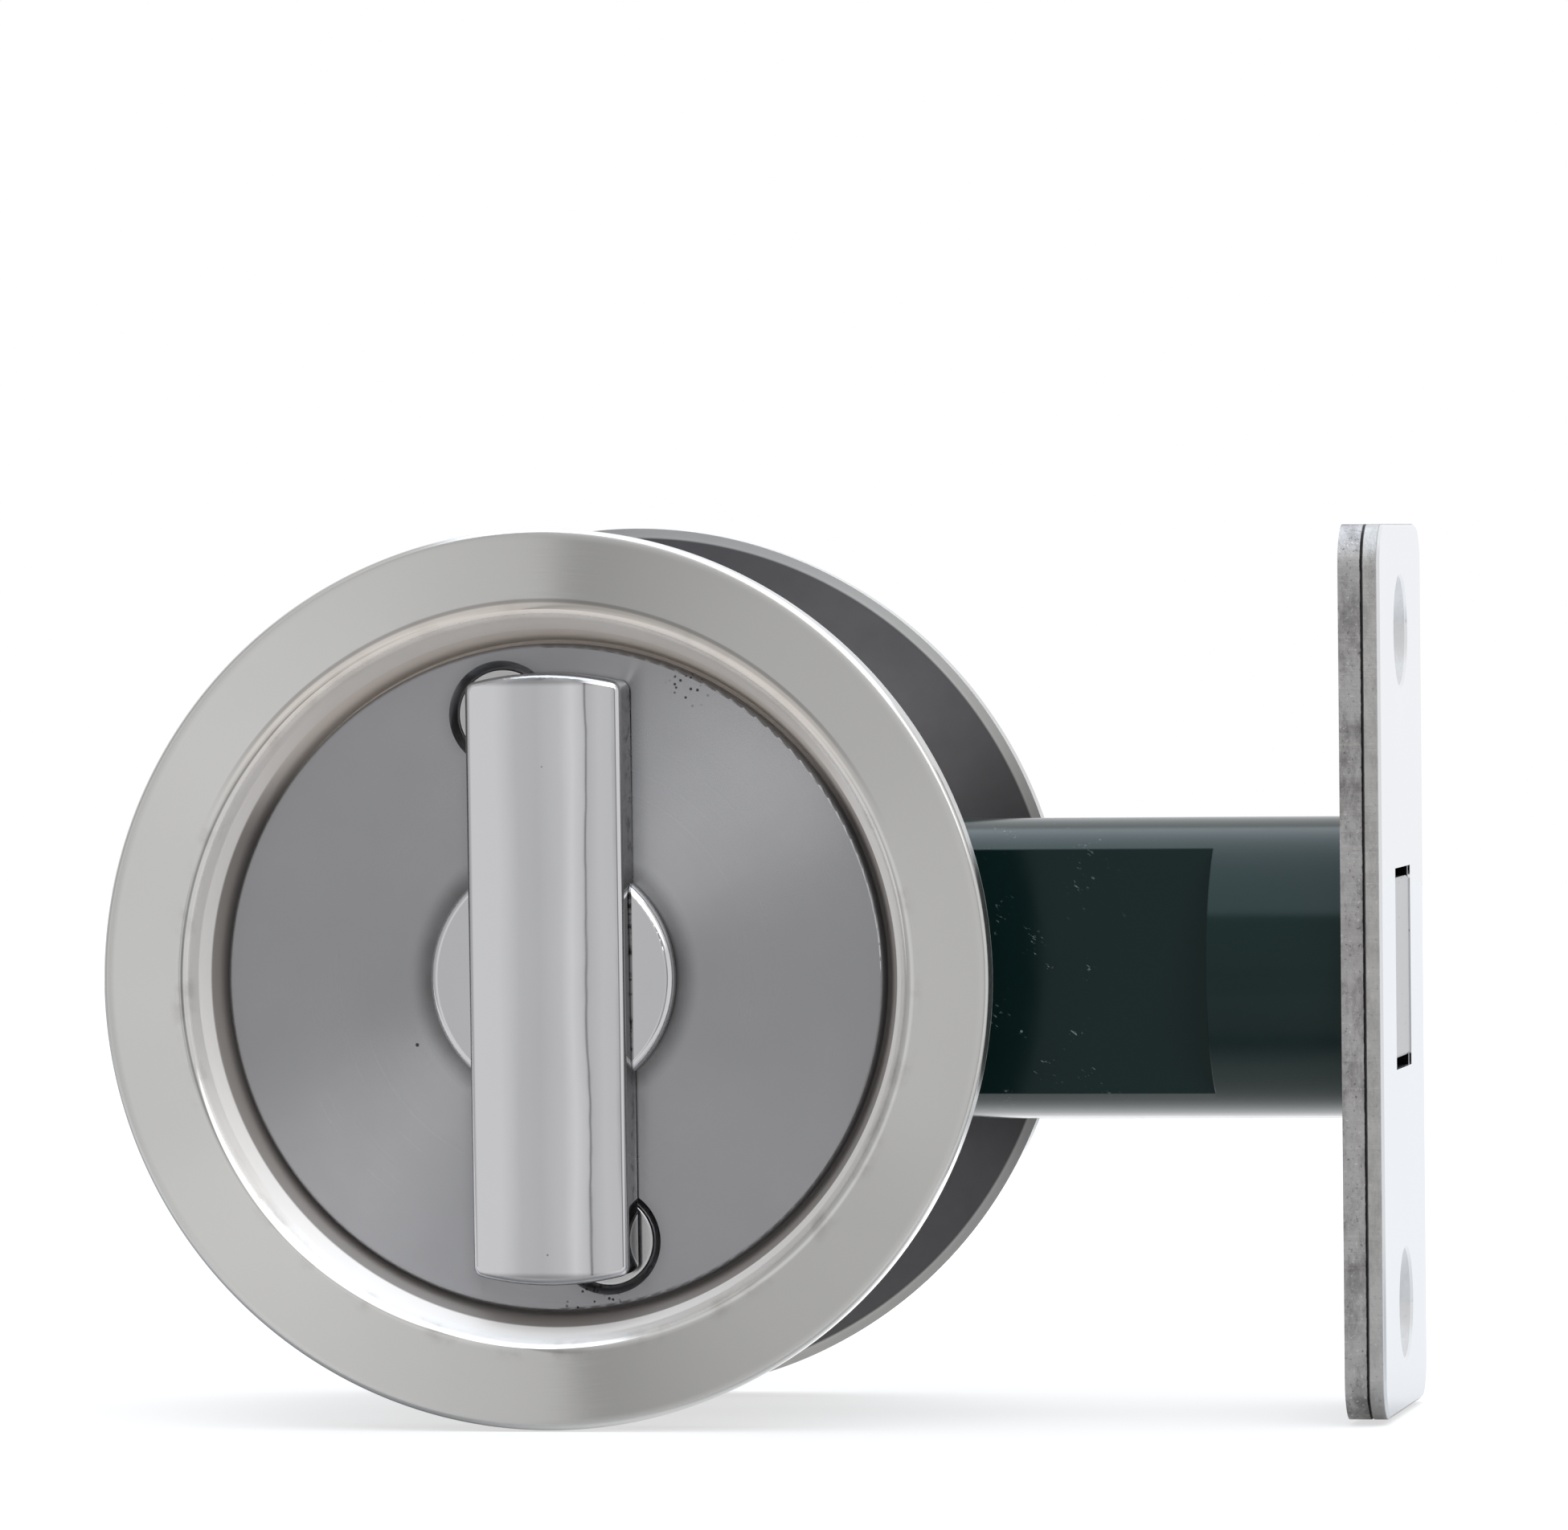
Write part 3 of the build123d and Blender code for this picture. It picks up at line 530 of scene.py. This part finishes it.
def chrome_face():
    """Faceplate: bright plated face over a sheared edge, with the slot's walls painted black as shade."""
    f = Finish("chrome_face")
    across, along = f.math("ABSOLUTE", f.y), f.math("ABSOLUTE", f.z)
    bright = f.mix(f.noise(f.place, 120.0, 3.0), tone(0.84, 0.855, 0.875), tone(0.88, 0.89, 0.905))
    edge, edge_rough, edge_height = cut_edge(f)
    edge = f.mix(0.45, edge, tone(0.52, 0.515, 0.50))
    # The slot's walls are painted near-black as painted shade.
    slot = f.product(f.step(along, SLOT_HALF_H + 1.2, SLOT_HALF_H + 1.0),
                     f.step(across, SLOT_HALF_W + 1.55, SLOT_HALF_W + 1.35),
                     f.step(f.x, EDGE_FACE - 0.15, EDGE_FACE - 0.2))
    edge = f.mix(slot, edge, tone(0.008))
    hole = f.product(f.step(f.off(along, EDGE_HOLE_Z), EDGE_HOLE_R + 0.2, EDGE_HOLE_R),
                     f.step(across, EDGE_HOLE_R + 0.6, EDGE_HOLE_R + 0.4), 0.62)
    face = f.math("MAXIMUM", f.step(f.x, EDGE_FACE - 0.25, EDGE_FACE - 0.15), hole)
    colour = f.mix(face, edge, bright)
    rough = f.total(f.product(edge_rough, f.rest(face)), f.product(face, 0.10))
    normal = f.bump(f.product(edge_height, f.rest(face)), 0.4, 0.05)
    return f.close(Base_Color=colour, Metallic=1.0, Roughness=rough, Normal=normal)


# Radii between the circlips and the screws, of which only the screws have a recess
CIRCLIPS_END, SCREWS_START = 12.0, 13.0


def bright_steel():
    """Plated screws, with painted shade in their cross recesses, and circlips."""
    f = Finish("bright_steel")
    cloud = f.noise(f.place, 400.0, 4.0)
    colour = f.mix(cloud, tone(0.55, 0.55, 0.555), tone(0.66, 0.66, 0.665))
    # Painted shade in the screws' cross recesses.
    recess = f.product(f.step(f.depth, SCREW_FACE - 0.1, SCREW_FACE - 0.35),
                       f.step(f.radius, CIRCLIPS_END, SCREWS_START))
    colour = f.mix(f.product(recess, 0.85), colour, tone(0.06))
    normal = f.bump(f.noise(f.place, 2500.0, 3.0), 0.08, 0.02)
    return f.close(Base_Color=colour, Metallic=1.0, Roughness=f.spread(cloud, 0.14, 0.28), Normal=normal)


def spring_steel():
    """Blued leaf spring."""
    f = Finish("spring_steel")
    cloud = f.noise(f.place, 500.0, 4.0)
    colour = f.mix(cloud, tone(0.20, 0.205, 0.23), tone(0.30, 0.30, 0.32))
    return f.close(Base_Color=colour, Metallic=1.0, Roughness=f.spread(cloud, 0.25, 0.4))


def nylon():
    """Moulded nylon washers, bushes and plug."""
    f = Finish("nylon")
    cloud = f.noise(f.place, 350.0, 4.0)
    colour = f.mix(cloud, tone(0.72, 0.71, 0.66), tone(0.80, 0.79, 0.75))
    normal = f.bump(f.noise(f.place, 3000.0, 3.0), 0.1, 0.02)
    return f.close(Base_Color=colour, Roughness=f.spread(cloud, 0.4, 0.55), Normal=normal)


# Turned pieces: a section swept round the Y axis

RING_STEPS, SCREW_STEPS, CROWN_STEPS = 256, 64, 12
ARC_STEPS = 8
HOLD = 0.12
LONG_RUN = 4.0 * HOLD
CREASE = 32.0
WELD = 0.001


def rounded(corners):
    """Points of a closed section from corners given as radius, depth and rounding, in millimetres."""
    points = []
    for count, (across, along, rounding) in enumerate(corners):
        corner = Vector((across, along))
        if rounding == 0.0:
            points.append(corner)
            continue
        before = (Vector(corners[count - 1][:2]) - corner).normalized()
        after = (Vector(corners[(count + 1) % len(corners)][:2]) - corner).normalized()
        half = before.angle(after) / 2.0
        centre = corner + (before + after).normalized() * rounding / math.sin(half)
        start = corner + before * rounding / math.tan(half) - centre
        sweep = start.angle_signed(corner + after * rounding / math.tan(half) - centre)
        for step in range(ARC_STEPS + 1):
            points.append(centre + Matrix.Rotation(-sweep * step / ARC_STEPS, 2) @ start)
    return points


def held(points, ring=True):
    """Add points close to both ends of long straight runs, so that their shading stays flat."""
    result = []
    for count, point in enumerate(points):
        run = points[(count + 1) % len(points)] - point
        result.append(point)
        last = count + 1 == len(points)
        if run.length > LONG_RUN and (ring or not last):
            result += [point + run.normalized() * HOLD, point + run - run.normalized() * HOLD]
    return result


def section(name, points):
    """A mesh that carries the points of a section, radius along X and depth along Y."""
    mesh = bpy.data.meshes.new(name)
    mesh.from_pydata([(point.x * MM, point.y * MM, 0.0) for point in points], [], [])
    return bpy.data.objects.new(name, mesh)


class Shape(Tree):
    """A Geometry Nodes tree with named inputs."""

    def __init__(self, name, sockets):
        super().__init__(bpy.data.node_groups.new(name, "GeometryNodeTree"))
        face = self.tree.interface
        face.new_socket("Geometry", in_out="OUTPUT", socket_type="NodeSocketGeometry")
        self.keys = {}
        for label, kind in sockets.items():
            made = face.new_socket(label, in_out="INPUT", socket_type="NodeSocket" + kind)
            self.keys[label] = made.identifier
        self.given = node(self.tree, "NodeGroupInput").outputs

    def place(self, x, y, z):
        return node(self.tree, "ShaderNodeCombineXYZ", (), {0: x, 1: y, 2: z}).outputs[0]

    def creased(self, geometry):
        """Smooth shading, with the edges that bend past the crease angle left sharp."""
        smooth = node(self.tree, "GeometryNodeSetShadeSmooth", {"domain": "FACE"},
                      {"Geometry": geometry, "Shade Smooth": True})
        bend = node(self.tree, "GeometryNodeInputMeshEdgeAngle").outputs["Unsigned Angle"]
        sharp = self.math("GREATER_THAN", bend, self.given["Crease"])
        made = node(self.tree, "GeometryNodeSetShadeSmooth", {"domain": "EDGE"},
                    {"Geometry": smooth.outputs[0], "Selection": sharp, "Shade Smooth": False})
        return made.outputs[0]

    def close(self, geometry):
        """Realize the copies, give them their finish and end the tree."""
        real = node(self.tree, "GeometryNodeRealizeInstances", (), {0: geometry}).outputs[0]
        coated = node(self.tree, "GeometryNodeSetMaterial", (),
                      {"Geometry": real, "Material": self.given["Finish"]})
        node(self.tree, "NodeGroupOutput", (), {0: coated.outputs[0]})
        return self

    def make(self, name, source, **values):
        """Run the tree on a source and keep the result as a plain mesh with outward normals."""
        scene.collection.objects.link(source)
        live = source.modifiers.new(name, "NODES")
        live.node_group = self.tree
        for label, value in values.items():
            live[self.keys[label]] = value
        ready = source.evaluated_get(bpy.context.evaluated_depsgraph_get())
        mesh = bpy.data.meshes.new_from_object(ready)
        bpy.data.objects.remove(source)
        form = bmesh.new()
        form.from_mesh(mesh)
        bmesh.ops.recalc_face_normals(form, faces=form.faces)
        form.to_mesh(mesh)
        form.free()
        mesh.name = name
        piece = bpy.data.objects.new(name, mesh)
        scene.collection.objects.link(piece)
        return piece


TURNED_INPUTS = {"Section": "Geometry", "Rows": "Int", "Steps": "Int", "Crease": "Float",
                 "Finish": "Material"}
RECESS_INPUTS = {"Arm": "Float", "Width": "Float", "Deep": "Float", "Face": "Float"}
COPY_INPUTS = {"Across": "Float", "Up": "Float", "Turn": "Float"}


def turned_shape():
    """Sweep the section's points round the Y axis; with one row more than points, a ring closes on itself."""
    shape = Shape("turned_piece", TURNED_INPUTS)
    given = shape.given
    columns = shape.total(given["Steps"], 1.0)
    grid = node(shape.tree, "GeometryNodeMeshGrid", (), {"Vertices X": given["Rows"], "Vertices Y": columns})
    index = node(shape.tree, "GeometryNodeInputIndex").outputs[0]
    size = node(shape.tree, "GeometryNodeAttributeDomainSize", (), {0: given["Section"]})
    row = shape.math("FLOOR", shape.math("DIVIDE", index, columns))
    row = shape.math("MODULO", row, size.outputs["Point Count"])
    column = shape.math("MODULO", index, columns)
    angle = shape.product(shape.math("DIVIDE", column, given["Steps"]), math.tau)
    sample = node(shape.tree, "GeometryNodeSampleIndex", {"data_type": "FLOAT_VECTOR", "domain": "POINT"},
                  {"Geometry": given["Section"], "Index": row,
                   "Value": node(shape.tree, "GeometryNodeInputPosition").outputs[0]})
    radius, depth, _ = shape.axes(sample.outputs[0])
    place = shape.place(shape.product(radius, shape.math("COSINE", angle)), depth,
                        shape.product(radius, shape.math("SINE", angle)))
    swept = node(shape.tree, "GeometryNodeSetPosition", (),
                 {"Geometry": grid.outputs["Mesh"], "Position": place})
    joined = node(shape.tree, "GeometryNodeMergeByDistance", (),
                  {"Geometry": swept.outputs[0], "Distance": WELD * MM})
    return shape.close(shape.creased(joined.outputs[0]))


turned = turned_shape()


def rose_ring(name, front, finish):
    """The ring of a rose; the front one faces -Y, the back one +Y."""
    rim = (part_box(name)[1].y if front > 0 else -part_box(name)[0].y) / MM
    slope = math.atan2(FLANGE_DISH, ROSE_R - LIP_R)
    rim += RIM_ROUND * (math.tan(slope) + 1.0 / math.cos(slope) - 1.0)
    corners = [(ROSE_R, DOOR_FACE, 0.0), (ROSE_R, rim, RIM_ROUND), (LIP_R, rim - FLANGE_DISH, LIP_ROUND),
               (LIP_FOOT_R, rim - LIP_FALL, 0.0), (WELL_R, PLATE_BACK, 0.0), (SEAT_R, PLATE_BACK, 0.0),
               (SEAT_R, SEAT_BACK, 0.0), (WELL_OUT_R, SEAT_BACK, 0.0), (WELL_OUT_R, DOOR_FACE, 0.0)]
    points = held(rounded([(across, along * front, rounding) for across, along, rounding in corners]))
    ring = turned.make(name + "_turned", section(name, points), Rows=len(points) + 1, Steps=RING_STEPS,
                       Crease=math.radians(CREASE), Finish=finish)
    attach(ring, "lock_body")
    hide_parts(name)


def boss_crown(finish):
    """Domed face of the snib's round boss."""
    shares = [step / CROWN_STEPS for step in range(CROWN_STEPS + 1)]
    points = [Vector((CROWN_R * share, -CROWN_FOOT - CROWN_RISE * (1.0 - share * share))) for share in shares]
    points += [Vector((CROWN_R, -CROWN_BACK)), Vector((0.0, -CROWN_BACK))]
    crown = turned.make("snib_boss_crown", section("boss", points), Rows=len(points), Steps=RING_STEPS,
                        Crease=math.radians(CREASE), Finish=finish)
    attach(crown, "turn")


def screw_shape():
    """A turned countersunk screw with a cross recess, copied to both fixing points."""
    shape = Shape("countersunk_screws", {**TURNED_INPUTS, **RECESS_INPUTS, **COPY_INPUTS})
    given = shape.given
    cut = node(shape.tree, "GeometryNodeGroup", {"node_tree": turned.tree},
               {label: given[label] for label in TURNED_INPUTS})
    face = shape.place(0.0, given["Face"], 0.0)
    deep = shape.product(given["Deep"], 2.0)
    for size in (shape.place(given["Arm"], deep, given["Width"]),
                 shape.place(given["Width"], shape.product(deep, SECOND_ARM), given["Arm"])):
        arm = node(shape.tree, "GeometryNodeMeshCube", (), {"Size": size})
        arm = node(shape.tree, "GeometryNodeTransform", (),
                   {"Geometry": arm.outputs["Mesh"], "Translation": face})
        cut = node(shape.tree, "GeometryNodeMeshBoolean", {"operation": "DIFFERENCE"},
                   {0: cut.outputs[0], 1: arm.outputs[0]})
    index = node(shape.tree, "GeometryNodeInputIndex").outputs[0]
    sign = shape.rest(shape.product(index, 2.0))
    spot = shape.place(shape.product(sign, given["Across"]), 0.0, shape.product(sign, given["Up"]))
    spots = node(shape.tree, "GeometryNodePoints", (), {"Count": 2, "Position": spot})
    lean = shape.place(0.0, shape.product(index, given["Turn"]), 0.0)
    copies = node(shape.tree, "GeometryNodeInstanceOnPoints", (),
                  {"Points": spots.outputs[0], "Instance": shape.creased(cut.outputs[0]), "Rotation": lean})
    return shape.close(copies.outputs[0])


def fixing_screws(finish):
    """The two screws of the front plate."""
    neck, tip = SCREW_FACE - SCREW_HEAD_R + SCREW_R, SCREW_FACE - SCREW_L
    corners = [(0.0, -SCREW_FACE, 0.0), (SCREW_HEAD_R, -SCREW_FACE, HEAD_ROUND), (SCREW_R, -neck, 0.0),
               (SCREW_R, -tip, 0.0), (0.0, -tip, 0.0)]
    points = held(rounded(corners), ring=False)
    screws = screw_shape().make(
        "fixing_screws_turned", section("fixing_screw", points), Rows=len(points), Steps=SCREW_STEPS,
        Crease=math.radians(CREASE), Arm=CROSS_ARM * MM, Width=CROSS_W * MM, Deep=CROSS_DEEP * MM,
        Face=-SCREW_FACE * MM, Across=SCREW_X * MM, Up=SCREW_Z * MM, Turn=math.radians(SCREW_TURN),
        Finish=finish)
    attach(screws, "lock_body")
    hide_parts("fixing_screws")


rose_satin = satin_rose()
rose_ring("front_ring", -1.0, rose_satin)
rose_ring("back_ring", 1.0, rose_satin)
snib_metal = polished_metal()
boss_crown(snib_metal)
plated_steel = bright_steel()
fixing_screws(plated_steel)


# The other pieces are the CAD nodes, each with its finish

finishes = {
    spun_plate(): ["front_plate", "back_plate"],
    snib_metal: ["turn_snib", "coin_turn"],
    case_paint(): ["latch_case"],
    plain_steel(): ["forend", "claw", "claw_pin", "cam_pin", "hub", "spindle", "fixing_posts"],
    bolt_steel(): ["bolt"],
    chrome_face(): ["faceplate"],
    plated_steel: ["snib_circlip", "coin_circlip"],
    spring_steel(): ["detent_spring"],
    nylon(): ["snib_washer", "coin_washer", "hub_bushes", "end_plug"],
}
for material, names in finishes.items():
    for name in names:
        nodes[name].data.materials.clear()
        nodes[name].data.materials.append(material)
